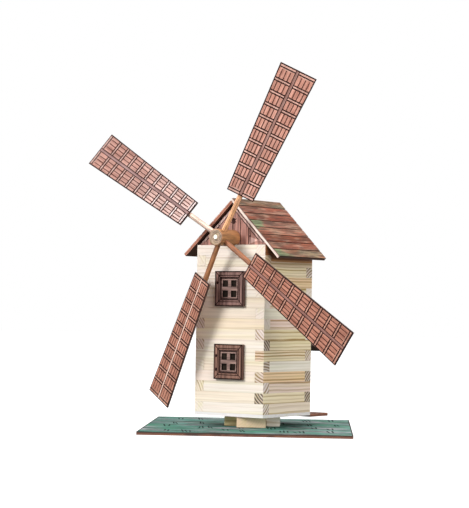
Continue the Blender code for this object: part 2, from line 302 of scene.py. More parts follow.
def stained_material(name, light, dark, stretch=(28.0, 420.0, 60.0)):
    """Stained plywood: long streaks of open grain, blotches where the stain took unevenly."""
    shader = Shader(name, sheen=0.3)
    grain, tone = shader.grain_and_tone()
    streaks = shader.noise(grain, stretch, detail=4.0, roughness=0.6)
    colour = shader.ramp(streaks, [(0.33, dark), (0.66, light)])
    blotch = shader.noise(grain, (45.0, 110.0, 110.0))
    colour = shader.tint(shader.shade(colour, blotch, (0.38, 0.88), (0.62, 1.08)), tone)
    pores = shader.noise(grain, (90.0, 2200.0, 900.0))
    colour = shader.shade(colour, pores, (0.30, 0.80), (0.45, 1.0))
    height = shader.math("ADD", streaks, shader.times(pores, 0.6))
    rough = shader.scaled(streaks, 0.15, 0.53)
    return shader.finish(colour, rough, shader.bump(height, 0.10 * MM))


def roof_material():
    """Weathered stain.  Each row has a brown of its own (its tone), reddened and bleached in
    streaks, and turns green towards the front of the roof as far as its figure says."""
    shader = Shader("roof_stain", sheen=0.15)
    grain, stain = shader.grain_and_tone()
    green = shader.attribute("figure", "Fac")
    along = shader.attribute("along", "Fac")
    drift = shader.noise(grain, (24.0, 130.0, 130.0))
    redder = shader.tint(stain, (1.15, 0.70, 0.60))
    colour = shader.cover(stain, redder, drift, (0.42, 0.0), (0.58, 1.0))
    bleach = shader.noise(grain, (45.0, 260.0, 260.0), detail=3.0)
    colour = shader.cover(colour, (0.44, 0.28, 0.19), bleach, (0.50, 0.0), (0.64, 0.52))
    front = shader.scaled(along, -0.95, 0.40, clamp=True)
    patches = shader.noise(grain, (30.0, 70.0, 70.0), detail=3.0)
    level = shader.scaled(green, front, patches)
    colour = shader.cover(colour, (0.190, 0.260, 0.125), level, (0.71, 0.0), (0.81, 0.85))
    streaks = shader.noise(grain, (42.0, 480.0, 480.0), detail=3.0, roughness=0.7)
    colour = shader.shade(colour, streaks, (0.39, 0.50), (0.61, 1.42))
    rough = shader.scaled(streaks, 0.2, 0.55)
    return shader.finish(colour, rough, shader.bump(streaks, 0.12 * MM))


def board_material():
    """Green stain brushed along the board, thin enough for the grey ply to show."""
    shader = Shader("board_stain", sheen=0.25)
    grain = shader.attribute("grain")
    brushed = shader.noise(grain, (22.0, 42.0, 60.0), detail=4.0, roughness=0.65)
    stops = [
        (0.34, (0.022, 0.075, 0.062)),
        (0.68, (0.290, 0.275, 0.300)),
        (0.42, (0.040, 0.180, 0.135)),
        (0.50, (0.095, 0.205, 0.180)),
        (0.58, (0.170, 0.200, 0.200)),
    ]
    green = shader.ramp(brushed, stops)
    fresh = shader.noise(grain, (13.0, 24.0, 60.0))
    green = shader.cover(green, (0.030, 0.215, 0.130), fresh, (0.54, 0.0), (0.66, 0.8))
    streaks = shader.noise(grain, (26.0, 78.0, 60.0), detail=4.0, roughness=0.7)
    colour = shader.shade(green, streaks, (0.41, 0.42), (0.58, 1.50))
    pores = shader.noise(grain, (60.0, 900.0, 60.0), detail=3.0)
    colour = shader.shade(colour, pores, (0.36, 0.72), (0.56, 1.1))
    rough = shader.scaled(brushed, 0.2, 0.55)
    return shader.finish(colour, rough, shader.bump(pores, 0.10 * MM))


def ply_edge_material(name, light, dark, burnt, rim=0.0, scorched=0.8):
    """A laser-cut plywood edge: three plies, the middle one across the grain, scorched in spots.
    rim is the share of its thickness that is scorched below the face."""
    shader = Shader(name)
    grain, tone = shader.grain_and_tone()
    _, _, z = shader.split(grain)
    depth = shader.math("DIVIDE", z, -PLY)
    borders = [(0.0, dark), (1.0, dark), (0.12, light), (0.34, light)]
    borders += [(0.40, dark), (0.60, dark), (0.66, light)]
    fibres = shader.noise(grain, (160.0, 160.0, 1800.0), detail=3.0)
    colour = shader.shade(shader.ramp(depth, borders), fibres, (0.3, 0.8), (0.7, 1.12))
    scorch = shader.noise(grain, (70.0, 70.0, 300.0))
    colour = shader.cover(colour, burnt, scorch, (0.50, 0.0), (0.68, scorched))
    if rim:
        level = shader.scaled(scorch, 0.3, depth)
        colour = shader.cover(colour, burnt, level, (rim, 1.0), (rim + 0.15, 0.0))
    return shader.finish(shader.tint(colour, tone), 0.7, shader.bump(fibres, 0.1 * MM))


def burnt_material(name, light, dark):
    """The floor of an engraved line, scorched unevenly along its length."""
    shader = Shader(name, sheen=0.15)
    scorch = shader.noise(shader.attribute("grain"), (320.0, 320.0, 320.0), detail=3.0)
    colour = shader.ramp(scorch, [(0.35, dark), (0.65, light)])
    return shader.finish(colour, 0.9, shader.bump(scorch, 0.08 * MM))


MATERIALS = {}


def make_materials():
    made = (
        pine_material("pine_wood", (0.905, 0.81, 0.725), (0.43, 0.29, 0.13), 2.2 * MM),
        pine_material("dowel_wood", (0.80, 0.68, 0.50), (0.50, 0.34, 0.18), 1.2 * MM),
        pine_material("orange_dowel", (0.47, 0.215, 0.090), (0.20, 0.085, 0.035), 1.5 * MM, 0.32),
        stained_material("brown_stain", (0.38, 0.205, 0.160), (0.105, 0.048, 0.038)),
        stained_material(
            "sail_stain", (0.74, 0.385, 0.290), (0.40, 0.165, 0.115), (40.0, 500.0, 60.0)
        ),
        # Near-black brown for the plates' undersides: a brown stain darkened as painted shade under
        # the eaves.
        stained_material("underside_stain_and_shade", (0.100, 0.040, 0.022), (0.040, 0.015, 0.010)),
        stained_material("step_stain", (0.30, 0.115, 0.075), (0.14, 0.045, 0.032)),
        roof_material(),
        board_material(),
        ply_edge_material(
            "roof_edge", (0.50, 0.30, 0.22), (0.20, 0.10, 0.08), (0.09, 0.035, 0.025)
        ),
        ply_edge_material(
            "board_edge", (0.31, 0.135, 0.078), (0.16, 0.060, 0.035), (0.045, 0.025, 0.020), 0.40
        ),
        ply_edge_material(
            "pale_edge", (0.96, 0.84, 0.76), (0.92, 0.76, 0.66), (0.20, 0.10, 0.075), 0.40, 0.2
        ),
        ply_edge_material(
            "dark_edge", (0.16, 0.08, 0.06), (0.07, 0.03, 0.025), (0.03, 0.012, 0.01)
        ),
        burnt_material("burnt_line", (0.055, 0.022, 0.018), (0.020, 0.008, 0.007)),
        burnt_material("soft_line", (0.095, 0.030, 0.022), (0.055, 0.018, 0.014)),
        burnt_material("grass_line", (0.030, 0.060, 0.055), (0.012, 0.025, 0.022)),
        burnt_material("pane_black", (0.026, 0.017, 0.011), (0.010, 0.007, 0.005)),
    )
    for material in made:
        MATERIALS[material.name] = material


# ---------------------------------------------------------------- reading the CAD frame


def points_of(node):
    return [v.co.copy() for v in frame["nodes"][node].data.vertices]


def mill_box(node):
    """A node's lowest and highest corner in the mill's own frame, its front facing -Y."""
    back = mill_turn.inverted()
    points = [back @ p for p in points_of(node)]
    return [Vector([f(p[i] for p in points) for i in range(3)]) for f in (min, max)]


def plate_of(node, facing, up):
    """A CAD plate's outline in its own plane, the plane's place and the plate's thickness.  The
    plane is the plate's flat face nearest to facing; its v axis is the one nearest to up."""
    mesh = frame["nodes"][node].data
    face_points = []
    normal = Vector()
    nearest = max(polygon.normal.dot(facing) for polygon in mesh.polygons)
    for polygon in mesh.polygons:
        if polygon.normal.dot(facing) > nearest - 0.001:
            normal += polygon.normal * polygon.area
            face_points += [mesh.vertices[i].co for i in polygon.vertices]
    w = normal.normalized()
    v = (up - up.dot(w) * w).normalized()
    u = v.cross(w)
    centre = sum(face_points, Vector()) / len(face_points)
    flat = [((p - centre).dot(u), (p - centre).dot(v)) for p in face_points]
    middle = [(low + high) / 2 for low, high in loop_box(flat)]
    origin = centre + u * middle[0] + v * middle[1]
    flat = [Vector((a - middle[0], b - middle[1])) for a, b in flat]
    thickness = max((origin - p).dot(w) for p in points_of(node))
    place = Matrix.Translation(origin) @ Matrix([u, v, w]).transposed().to_4x4()
    return hull(flat), place, thickness


def hull(points):
    """The convex outline of flat points, counter-clockwise, with corners only."""
    ordered = sorted({(round(p[0], 6), round(p[1], 6)) for p in points})
    halves = []
    for sequence in (ordered, ordered[::-1]):
        half = []
        for point in map(Vector, sequence):
            while len(half) > 1 and (half[-1] - half[-2]).cross(point - half[-1]) < 1e-9:
                half.pop()
            half.append(point)
        halves += half[:-1]
    return halves


def rod_of(node, direction):
    """A CAD rod's start, direction, length and radius.  Its direction is whichever of its three
    main axes lies nearest to the rough one given."""
    points = points_of(node)
    cloud = np.array(points)
    axes = [Vector(axis) for axis in np.linalg.svd(cloud - cloud.mean(axis=0))[2]]
    along = max(axes, key=lambda axis: abs(axis.dot(direction)))
    if along.dot(direction) < 0:
        along = -along
    centre = sum(points, Vector()) / len(points)
    reach = [(p - centre).dot(along) for p in points]
    radius = max(((p - centre) - (p - centre).dot(along) * along).length for p in points)
    return centre + along * min(reach), along, max(reach) - min(reach), radius


# ---------------------------------------------------------------- making pieces


def set_attributes(mesh, grain_of, tone_of, figure_of):
    """Stores grain at each vertex, and tone and figure at each face."""
    grain = mesh.attributes.new("grain", "FLOAT_VECTOR", "POINT")
    grain.data.foreach_set("vector", [c for vertex in mesh.vertices for c in grain_of(vertex.co)])
    tone = mesh.attributes.new("tone", "FLOAT_COLOR", "FACE")
    tones = [tone_of(polygon) for polygon in mesh.polygons]
    tone.data.foreach_set("color", [c for colour in tones for c in (*colour, 1.0)])
    figure = mesh.attributes.new("figure", "FLOAT", "FACE")
    figure.data.foreach_set("value", [figure_of(polygon) for polygon in mesh.polygons])


def is_end(polygon, axis=0):
    return abs(polygon.normal[axis]) > 0.9


def mesh_from(name, bm):
    mesh = bpy.data.meshes.new(name)
    bmesh.ops.recalc_face_normals(bm, faces=bm.faces)
    bm.to_mesh(mesh)
    bm.free()
    return mesh


def add_piece(name, bm, materials, place, body, nodes, slot, bevel=0.0, smooth=False):
    """Makes an object from a bmesh and ties it to its CAD body and nodes; slot is not used."""
    mesh = mesh_from(name, bm)
    for material in materials:
        mesh.materials.append(MATERIALS[material])
    if smooth:
        mesh.shade_smooth()
        mesh.set_sharp_from_angle(angle=SHARP)
    piece = new_object(name, mesh)
    piece.matrix_world = place
    if bevel:
        rounding = piece.modifiers.new("rounding", "BEVEL")
        rounding.width = bevel
        rounding.segments = 2
        rounding.limit_method = "ANGLE"
        rounding.angle_limit = radians(35)
    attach(piece, body)
    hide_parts(*nodes)
    return piece


def stroke(start, end, width):
    """A straight engraved line between two points, as a polygon."""
    start, end = Vector(start), Vector(end)
    side = (end - start).normalized().orthogonal() * width / 2
    return [start + side, start - side, end - side, end + side]


def ring_strokes(corners, width):
    """A closed engraved line through the corners."""
    lines = []
    for i, corner in enumerate(corners):
        following = corners[(i + 1) % len(corners)]
        along = (following - corner).normalized() * width / 2
        lines.append(stroke(corner - along, following + along, width))
    return lines


def inset(loop, distance):
    """A convex loop moved inwards by a distance."""
    centre = sum(loop, Vector((0.0, 0.0))) / len(loop)
    moved = []
    for i, corner in enumerate(loop):
        before = (corner - loop[i - 1]).normalized()
        after = (loop[(i + 1) % len(loop)] - corner).normalized()
        bisector = (after - before).normalized()
        if bisector.dot(centre - corner) < 0:
            bisector = -bisector
        half = sqrt(max(1e-9, (1 - before.dot(-after)) / 2))
        moved.append(corner + bisector * distance / half)
    return moved


def loop_box(loop):
    return [(min(p[i] for p in loop), max(p[i] for p in loop)) for i in (0, 1)]


def extent(loop):
    """The lowest and the highest corner of a flat loop."""
    return [Vector(corner) for corner in zip(*loop_box(loop))]


def in_box(point, box):
    return all(low <= c <= high for c, (low, high) in zip(point, box))


def inside(point, loop):
    """Whether a point is inside a closed loop, by counting the edges to its right."""
    odd = False
    for i, b in enumerate(loop):
        a = loop[i - 1]
        if (a[1] > point[1]) != (b[1] > point[1]):
            crossing = a[0] + (point[1] - a[1]) * (b[0] - a[0]) / (b[1] - a[1])
            odd ^= crossing > point[0]
    return odd


def engraved(outline, engravings, thickness, holes=()):
    """A flat plate with lines cut into its face.

    outline is the plate's edge.  engravings is a list of (polygons, depth, material index); where
    they cross, the deeper one wins.  Faces get material 0, edges 1 and the back 2.
    """
    loops = [outline, *holes]
    cuts = [(0.0, 0)] * len(loops)
    for polygons, depth, index in engravings:
        loops += polygons
        cuts += [(depth, index)] * len(polygons)
    points, faces = [], []
    for loop in loops:
        faces.append(list(range(len(points), len(points) + len(loop))))
        points += [Vector(p[:2]) for p in loop]
    scale = 1000.0  # the triangulation works in millimetres, where its tolerance is sensible
    flat, _, triangles, _, _, _ = delaunay_2d_cdt([p * scale for p in points], [], faces, 0, 1e-4)
    bm = bmesh.new()
    made = {}

    def vertex(i, depth):
        key = (i, round(depth * 1e7))
        if key not in made:
            made[key] = bm.verts.new((flat[i].x / scale, flat[i].y / scale, -depth))
        return made[key]

    kept = []
    levels = {}
    boxes = [loop_box(loop) for loop in loops]
    for triangle in triangles:
        middle = sum((flat[i] for i in triangle), Vector((0.0, 0.0))) / (3 * scale)
        around = [
            k for k, loop in enumerate(loops) if in_box(middle, boxes[k]) and inside(middle, loop)
        ]
        if 0 not in around or any(0 < k <= len(holes) for k in around):
            continue
        depth, index = cuts[max(around, key=lambda k: cuts[k][0])]
        kept.append((triangle, depth, index))
        for i in triangle:
            levels.setdefault(i, set()).add(depth)
    neighbours = {}
    for number, (triangle, _, _) in enumerate(kept):
        for a, b in zip(triangle, triangle[1:] + triangle[:1]):
            neighbours.setdefault((min(a, b), max(a, b)), []).append(number)

    def between(i, low, high):
        return sorted(d for d in levels[i] if low + 1e-9 < d < high - 1e-9)

    def wall(a, b, top, bottom, index):
        loop = [vertex(a, top), vertex(b, top)]
        loop += [vertex(b, d) for d in between(b, top, bottom)]
        loop += [vertex(b, bottom), vertex(a, bottom)]
        loop += [vertex(a, d) for d in reversed(between(a, top, bottom))]
        bm.faces.new(loop).material_index = index

    for triangle, depth, index in kept:
        bm.faces.new([vertex(i, depth) for i in triangle]).material_index = index
        back = bm.faces.new([vertex(i, thickness) for i in reversed(triangle)])
        back.material_index = 2
    for (a, b), numbers in neighbours.items():
        if len(numbers) == 1:
            wall(a, b, kept[numbers[0]][1], thickness, 1)
        else:
            first, second = sorted((kept[n] for n in numbers), key=lambda face: face[1])
            if second[1] - first[1] > 1e-9:
                wall(a, b, first[1], second[1], second[2])
    return bm


def plate_piece(name, node, facing, up, body, slot, materials, engravings, tone_of, grain_of,
                holes=(), outline=None):
    """Builds an engraved plate in the place of a CAD plate."""
    cad_outline, place, thickness = plate_of(node, facing, up)
    bm = engraved(outline or cad_outline, engravings, thickness, holes)
    piece = add_piece(name, bm, materials, place, body, [node], slot)
    set_attributes(piece.data, grain_of, tone_of, lambda polygon: 1.0)
    return piece


def upright(co):
    """Grain that runs along a plate's v axis."""
    return Vector((co.y, co.x, co.z))


def brown_plate(name, node, facing, engravings, tone_of, grain_at=(0.0, 0.0, 0.0), **others):
    """An upright engraved plate of the mill body in brown stain, its grain upright too."""
    plate_piece(
        name, node, facing, UP, "mill", "brown_ply",
        ["brown_stain", "dark_edge", "brown_stain", "burnt_line"], engravings, tone_of,
        lambda co: upright(co) + Vector(grain_at), **others,
    )


def plain(polygon):
    return (1.0, 1.0, 1.0)


# ---------------------------------------------------------------- tower


TONES = {
    "cream": (1.00, 1.00, 1.00),
    "straw": (1.00, 0.97, 0.89),
    "blush": (1.00, 0.95, 0.93),
    "pink": (1.06, 0.99, 0.90),
    "tan": (1.02, 0.94, 0.82),
    "olive": (1.06, 1.02, 0.80),
    "mauve": (1.00, 0.90, 0.87),
    "amber": (1.04, 0.86, 0.60),
    "grey": (1.02, 1.06, 1.02),
    # The last three tones are painted shade under the eave, for the right wall's top courses.
    "eave_shade_pale": (0.95, 0.84, 0.66),
    "eave_shade_brown": (0.62, 0.33, 0.14),
    "eave_shade_dark": (0.40, 0.17, 0.065),
}
COURSES = 16
TOP_FRONT_STRIP = "front_strip_15"  # scooped, so that the hub's underside clears it
HUB_SCOOP_RADIUS = 8.4 * MM
PANE_HALF, PANE_AT, PANE_DEPTH = 3.1 * MM, 4.9 * MM, 1.6 * MM
DOOR_PLANKS = 4
GABLE_BORE, HUB_BORE, RETAINER_BORE = 3.0 * MM, 2.95 * MM, 2.8 * MM  # the radii round the shaft
# The strip below is darkened in bands under the eave as painted shade.
EAVE_SHADED_STRIP = "right_strip_14"  # browned under the eave, in two bands with these lower borders
EAVE_SHADE_BANDS = ((-0.6 * MM, "eave_shade_brown"), (1.4 * MM, "eave_shade_dark"))
STRIP_GAP = 0.06 * MM
WALLS = (("front", "cream"), ("right", "tan"), ("back", "cream"), ("left", "straw"))
WALL_TONES = {  # from the lowest course up; the strips of the other two walls are drawn at random
    "right": (
        "pink", "olive", "mauve", "amber", "grey", "olive", "olive", "olive",
        # The right wall's two top courses are darkened as painted shade under the eave.
        "mauve", "grey", "tan", "olive", "amber", "olive", "eave_shade_pale", "eave_shade_dark",
    ),
    "front": (
        "cream", "straw", "cream", "blush", "straw", "cream", "cream", "straw",
        "tan", "straw", "blush", "cream", "cream", "cream", "cream", "cream",
    ),
}
PLAIN_END = (0.30, None, (0.99, 0.97, 0.95))
# The ends that show at the corners, by wall and course: how bold their rings are, which way the
# pith lies (degrees from outwards, towards up) and their tone.  The rest are like PLAIN_END.
END_MARKS = {
    ("right", 1): (5.8, -45, (0.92, 0.89, 0.85)),
    ("right", 3): (2.1, -60, (0.90, 0.84, 0.82)),
    ("right", 5): (2.6, 88, (1.00, 0.86, 0.75)),
    ("right", 7): (1.5, -45, (0.95, 0.91, 0.95)),
    ("front", 0): (2.0, -45, (0.98, 0.96, 1.02)),
    ("front", 2): (1.8, -40, (0.95, 0.92, 0.98)),
    ("front", 4): (3.6, 80, (0.93, 0.94, 0.97)),
    ("front", 6): (5.0, 45, (0.92, 0.90, 0.90)),
    # The brown tone of this end is painted shade under the eave.
    ("front", 14): (0.8, 60, (0.80, 0.68, 0.54)),
    ("back", 1): (5.5, 45, (0.98, 0.95, 0.92)),
    ("back", 3): (4.2, 45, (0.95, 0.94, 0.94)),
    ("back", 5): (1.8, 45, (0.94, 0.91, 0.92)),
    ("back", 13): (3.4, 60, (0.97, 0.96, 0.97)),
    ("left", 2): (1.0, 30, (0.99, 0.96, 0.87)),
    ("left", 6): (1.1, 40, (0.94, 0.90, 0.92)),
    ("left", 8): (1.2, 40, (0.88, 0.82, 0.85)),
    ("left", 12): (1.2, 40, (0.93, 0.92, 0.95)),
}


def strip_bmesh(length, side, rng):
    """A square strip along x, not quite straight, with two loops where a saw left it uneven."""
    bm = bmesh.new()
    stations = [-0.5, -0.18, 0.21, 0.5]
    rows = []
    for station in stations:
        swell = rng.uniform(-0.06, 0.06) * MM
        corners = []
        for y, z in ((-0.5, -0.5), (0.5, -0.5), (0.5, 0.5), (-0.5, 0.5)):
            corners.append(bm.verts.new((station * length, y * side, z * side + z * swell)))
        rows.append(corners)
    for first, second in zip(rows, rows[1:]):
        for i in range(4):
            j = (i + 1) % 4
            bm.faces.new((first[i], first[j], second[j], second[i]))
    bm.faces.new(rows[0])
    bm.faces.new(list(reversed(rows[-1])))
    return bm


def scoop_for_hub(piece, front):
    """Hollows the strip under the hub, from in front of the wall to just behind the hub."""
    start = shaft_point + shaft_axis * (front - (mill_turn.inverted() @ shaft_point).y)
    reach = mill_box("hub")[1].y + CLEARANCE - front
    cut_away(piece, [cutter_rod(start, shaft_axis, reach, HUB_SCOOP_RADIUS, "pine_wood")])


def make_walls():
    """Sixty-four strips.  In even courses each wall's strip reaches the corner on its right-hand
    side, seen from outside, and in odd courses the corner on its left."""
    rng = Random(20)
    low, high = mill_box("front_wall")
    half = mill_box("right_wall")[1].x
    strip = high.y - low.y
    length = 2 * half - strip - STRIP_GAP
    floor_top = mill_box("floor_plate")[1].z
    rise = (high.z - floor_top) / COURSES
    for turns, (wall, usual) in enumerate(WALLS):
        to_wall = mill_turn @ Matrix.Rotation(turns * pi / 2, 4, "Z")
        for course in range(COURSES):
            name = f"{wall}_strip_{course:02d}"
            bm = strip_bmesh(length, strip - STRIP_GAP, rng)
            shift = strip / 2 if course % 2 == 0 else -strip / 2
            at = Vector((shift, -half + strip / 2, floor_top + (course + 0.5) * rise))
            at.y += rng.uniform(0.0, 0.08) * MM
            if wall in WALL_TONES:
                wood = WALL_TONES[wall][course]
            else:
                wood = rng.choice((usual, "cream", "straw", "tan", "blush", "grey"))
            shade = rng.uniform(0.96, 1.03)
            tone = tuple(c * shade for c in TONES[wood])
            bold, lie, end_tone = END_MARKS.get((wall, course), PLAIN_END)
            angle = rng.uniform(0.18, 0.42) * pi
            if lie is not None:
                angle = radians(lie)
            scale = 0.8 if bold > 2 else rng.uniform(0.6, 0.9)
            pith = Vector((rng.uniform(-9, 9), 0.03 * cos(angle), 0.03 * sin(angle)))
            figure = rng.uniform(0.22, 0.62) if wall == "front" else rng.uniform(1.1, 1.8)
            if wall == "right" and wood == "grey":
                figure *= 0.25
            bands = EAVE_SHADE_BANDS if name == EAVE_SHADED_STRIP else ()
            for height, _ in bands:
                bisect(bm, UP * height, UP)

            def tone_of(polygon):
                if is_end(polygon):
                    return end_tone
                # Above each band's border the strip takes that band's painted shade.
                reached = [TONES[painted_shade] for height, painted_shade in bands if polygon.center.z > height]
                return reached[-1] if reached else tone

            piece = add_piece(
                name, bm, ["pine_wood"], to_wall @ Matrix.Translation(at), "mill",
                [wall + "_wall"], "pine", bevel=0.18 * MM,
            )
            if name == TOP_FRONT_STRIP:
                scoop_for_hub(piece, low.y - MM)
            set_attributes(
                piece.data, lambda co: co * scale + pith, tone_of,
                lambda polygon: bold if is_end(polygon) else figure,
            )


def bisect(bm, point, normal):
    everything = [*bm.verts, *bm.edges, *bm.faces]
    bmesh.ops.bisect_plane(bm, geom=everything, plane_co=point, plane_no=normal)


def dressed(node, along, body, seed, tone=(1.0, 1.0, 1.0), figure=0.5, bevel=0.25 * MM,
            slot="pine", material="pine_wood", pith=0.03, far_tone=None):
    """A CAD piece made again with eased edges and with grain along a direction.  far_tone is the
    tone of its second half, if that differs."""
    bm = bmesh.new()
    bm.from_mesh(frame["nodes"][node].data)
    bmesh.ops.remove_doubles(bm, verts=bm.verts, dist=0.005 * MM)
    bmesh.ops.dissolve_limit(
        bm, angle_limit=radians(1), verts=bm.verts, edges=bm.edges, delimit=set()
    )
    rng = Random(seed)
    centre = sum((v.co for v in bm.verts), Vector()) / len(bm.verts)
    if far_tone:
        bisect(bm, centre, along)
    x = along.normalized()
    y = x.orthogonal().normalized()
    turn = Matrix([x, y, x.cross(y)])
    offset = grain_offset(rng, pith)
    piece = add_piece(node + "_wood", bm, [material], Matrix.Identity(4), body, [node], slot,
                      bevel=bevel)
    set_attributes(
        piece.data,
        lambda co: turn @ (co - centre) + offset,
        lambda polygon: far_tone if far_tone and (polygon.center - centre).dot(along) > 0 else tone,
        lambda polygon: figure * (1.6 if abs(polygon.normal.dot(x)) > 0.9 else 1.0),
    )


def grain_offset(rng, pith):
    """A random place in a log, this far from its pith."""
    angle = rng.uniform(0, 2 * pi)
    return Vector((rng.uniform(-5, 5), pith * cos(angle), pith * sin(angle)))


def window_frame_lines(outline, hole):
    """Mitres from corner to corner, and two lines that run round the frame."""
    mitres = []
    for corner in outline:
        nearest = min(hole, key=lambda p: (p - corner).length)
        mitres.append(stroke(corner * 0.98, nearest * 1.01, 0.8 * MM))
    border = ring_strokes(inset(outline, 0.6 * MM), 1.15 * MM)
    bead = ring_strokes(inset(outline, 4.2 * MM), 0.8 * MM)
    rim = ring_strokes(inset(outline, 6.1 * MM), 0.9 * MM)
    return mitres + border + bead + rim


def square(half, centre=(0.0, 0.0)):
    x, y = centre
    return [Vector((x + a * half, y + b * half)) for a, b in ((-1, -1), (1, -1), (1, 1), (-1, 1))]


def knot(x, y, radius):
    """A small burnt ellipse, as a knot is engraved."""
    return circle((x, y), radius, 14, tall=1.35)


def make_windows():
    for place, warmth in (("upper", (1.05, 1.08, 1.16)), ("lower", (1.02, 0.97, 0.88))):
        frame_node, sash_node = place + "_window_frame", place + "_window_sash"
        outline = plate_of(frame_node, FORWARD, UP)[0]
        sash_outline = plate_of(sash_node, FORWARD, UP)[0]
        hole = square(max(p.x for p in sash_outline) + CLEARANCE)
        knots = [knot(-14.0 * MM, 5.5 * MM, 1.2 * MM), knot(-13.8 * MM, -7.5 * MM, 1.3 * MM)]
        if place == "upper":
            knots = knots[:1]

        def frame_tone(polygon):
            u, v = polygon.center[:2]
            side = 1.0 if abs(u) > abs(v) else 0.86
            return tuple(c * side for c in warmth)

        brown_plate(
            frame_node + "_wood", frame_node, FORWARD,
            [(window_frame_lines(outline, hole) + knots, 0.35 * MM, 3)], frame_tone,
            (3.1, 0.7, 0.0), holes=[hole],
        )
        panes = [square(PANE_HALF, (a * PANE_AT, b * PANE_AT)) for a in (-1, 1) for b in (-1, 1)]
        bars = ring_strokes(inset(sash_outline, 0.4 * MM), 0.7 * MM)
        plate_piece(
            sash_node + "_wood", sash_node, FORWARD, UP, "mill", "brown_ply",
            ["brown_stain", "dark_edge", "brown_stain", "burnt_line", "pane_black"],
            [(bars, 0.3 * MM, 3), (panes, PANE_DEPTH, 4)],
            lambda polygon: (1.05, 1.22, 1.30),
            lambda co: co + Vector((1.7, 0.2, 0.0)),
        )


def make_back():
    """The plank door in its frame, the canopy and the doorstep."""
    make_door_leaf()
    make_door_frame()
    slope = UP * 0.93 - FORWARD * 0.37
    canopy = row_plate("door_canopy", slope, FORWARD, ROOF_STAINS[1:5], "roof_stain", seed=15)
    normal = canopy.matrix_world.to_3x3() @ UP
    lean = sqrt(1 - normal.z ** 2) / normal.z
    wall_end = max(vertex.co.y for vertex in canopy.data.vertices)
    for vertex in canopy.data.vertices:  # its end is cut upright, flat against the wall
        if vertex.co.y > wall_end - 0.01 * MM:
            vertex.co.y += vertex.co.z * lean
    step = [((shade, shade, shade), 0.0) for shade in (0.95, 1.1, 0.9, 1.05)]
    row_plate("doorstep", UP, FORWARD, step, "step_stain", seed=12, ends=(0.85, 0.56, 0.46),
              long_edge=(1.1, 1.0, 0.95))


def make_door_leaf():
    outline = plate_of("door_leaf", -FORWARD, UP)[0]
    low = extent(outline)[0]
    high = -low
    pitch = (high.x - low.x) / DOOR_PLANKS
    lines = []
    for k in range(1, DOOR_PLANKS):
        x = low.x + k * pitch
        lines.append(stroke((x, low.y + 0.8 * MM), (x, high.y - 0.8 * MM), 0.5 * MM))
    lines += ring_strokes(inset(outline, 0.6 * MM), 0.4 * MM)
    for level in (-0.62, 0.62):
        for edge in (-2.2 * MM, 2.2 * MM):
            y = level * high.y + edge
            lines.append(stroke((low.x + MM, y), (high.x - MM, y), 0.45 * MM))
    rng = Random(5)
    shades = [rng.uniform(0.85, 1.15) for _ in range(DOOR_PLANKS)]

    def door_tone(polygon):
        k = min(DOOR_PLANKS - 1, max(0, int((polygon.center.x - low.x) / pitch)))
        return (shades[k], shades[k] * 0.95, shades[k] * 0.92)

    knots = [knot(0.35 * high.x, 0.1 * high.y, MM)]
    brown_plate("door_leaf_wood", "door_leaf", -FORWARD,
                [(lines, 0.4 * MM, 3), (knots, 0.5 * MM, 3)], door_tone)


def make_door_frame():
    (left, base), (_, top) = extent(plate_of("door_frame", -FORWARD, UP)[0])
    leaf_low, leaf_high = mill_box("door_leaf")
    half = (leaf_high.x - leaf_low.x) / 2 + CLEARANCE
    head = base + leaf_high.z - leaf_low.z + CLEARANCE
    arch = [
        Vector(p) for p in (
            (left, base), (-half, base), (-half, head), (half, head),
            (half, base), (-left, base), (-left, top), (left, top),
        )
    ]
    middle = (half - left) / 2
    bend = head + middle - half
    lines = []
    for side in (-1, 1):
        outer = (-side * left * 0.98, top - 0.3 * MM)
        lines.append(stroke(outer, (side * half, head), 0.45 * MM))
        lines.append(stroke((side * middle, base), (side * middle, bend), 0.4 * MM))
    lines.append(stroke((-middle, bend), (middle, bend), 0.4 * MM))
    brown_plate("door_frame_wood", "door_frame", -FORWARD, [(lines, 0.35 * MM, 3)], plain,
                outline=arch)


# The default long_edge darkens the long edges, the eave's lower edge among them, as painted shade.
def row_plate(node, facing, up, stains, material, seed, ends=(1.0, 1.0, 1.0),
              long_edge=(0.45, 0.36, 0.30), front_side=-1, edge="roof_edge"):
    """A plate engraved as rows of boards that run along its u axis, one row to a stain, from the
    bottom.  ends and long_edge tint its edges; front_side is the sign of u at the roof's front."""
    low, high = extent(plate_of(node, facing, up)[0])
    rows = len(stains)
    rng = Random(seed)
    pitch = (high.y - low.y) / rows
    over = 0.5 * MM  # lines run out past both ends, so that they notch the edges
    lines = []
    for k in range(1, rows):
        y = low.y + k * pitch
        lines.append(stroke((low.x - over, y), (high.x + over, y), 1.05 * MM))
    places = [Vector([rng.uniform(-3, 3) for _ in range(3)]) for _ in range(rows)]

    def row_of(polygon):
        return min(rows - 1, max(0, int((polygon.center.y - low.y) / pitch)))

    def tone_of(polygon):
        if polygon.material_index == 1:
            return ends if abs(polygon.normal.x) > 0.7 else long_edge
        return plain(polygon) if polygon.material_index == 2 else stains[row_of(polygon)][0]

    piece = plate_piece(
        node + "_boards", node, facing, up, "mill", "roof_ply",
        [material, edge, "underside_stain_and_shade", "burnt_line"],
        [(lines, 0.5 * MM, 3)], tone_of, Vector.copy,
    )
    mesh = piece.data
    greens = [stains[row_of(polygon)][1] for polygon in mesh.polygons]
    mesh.attributes["figure"].data.foreach_set("value", greens)
    offset_rows(mesh, row_of, places)
    along = mesh.attributes.new("along", "FLOAT", "POINT")
    reach = high.x - low.x
    along.data.foreach_set("value", [0.5 - front_side * v.co.x / reach for v in mesh.vertices])
    return piece


